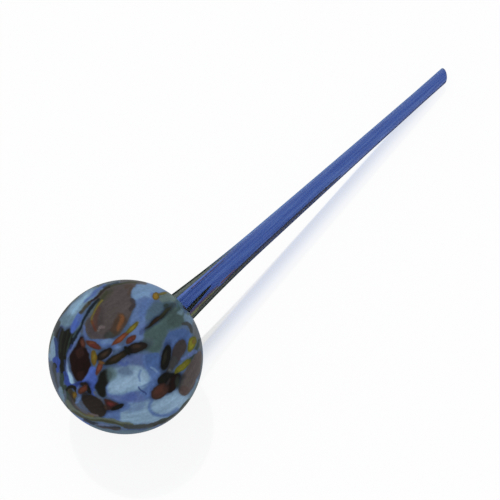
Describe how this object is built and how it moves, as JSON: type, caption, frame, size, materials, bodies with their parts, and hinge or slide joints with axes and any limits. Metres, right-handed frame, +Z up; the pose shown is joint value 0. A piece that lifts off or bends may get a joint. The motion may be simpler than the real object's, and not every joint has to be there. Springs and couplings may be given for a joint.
{
  "type": "watering globe",
  "caption": "Hand-blown glass watering globe with a mottled ball, a long tapered hollow stem and a slanted fire-polished mouth, lying on its side.",
  "frame": {"origin": "middle of the overall length on the surface it lies on, under the stem's plane", "axes": "+Z up, +X from the ball towards the stem's mouth, which slopes down to the surface; +Y completes the right-handed frame"},
  "size_m": [0.2991, 0.076, 0.076],
  "materials": {
    "glass_body": "blown glass ball, mottled blue, grey and brown over an opal layer, with the clear drawn casing of the stem, all fire polished",
    "stem_core": "drawn cobalt glass",
    "frit_yellow": "melted-in yellow glass chips",
    "frit_amber": "melted-in amber and orange glass chips",
    "frit_brown": "melted-in brown and red-brown glass chips",
    "frit_dark": "melted-in near-black glass chips",
    "frit_olive": "melted-in dark olive glass chips"
  },
  "bodies": {
    "root": {"glass_body": "glass_body", "stem_core": "stem_core", "frit_yellow": "frit_yellow", "frit_amber": "frit_amber", "frit_brown": "frit_brown", "frit_dark": "frit_dark", "frit_olive": "frit_olive"}
  },
  "joints": []
}
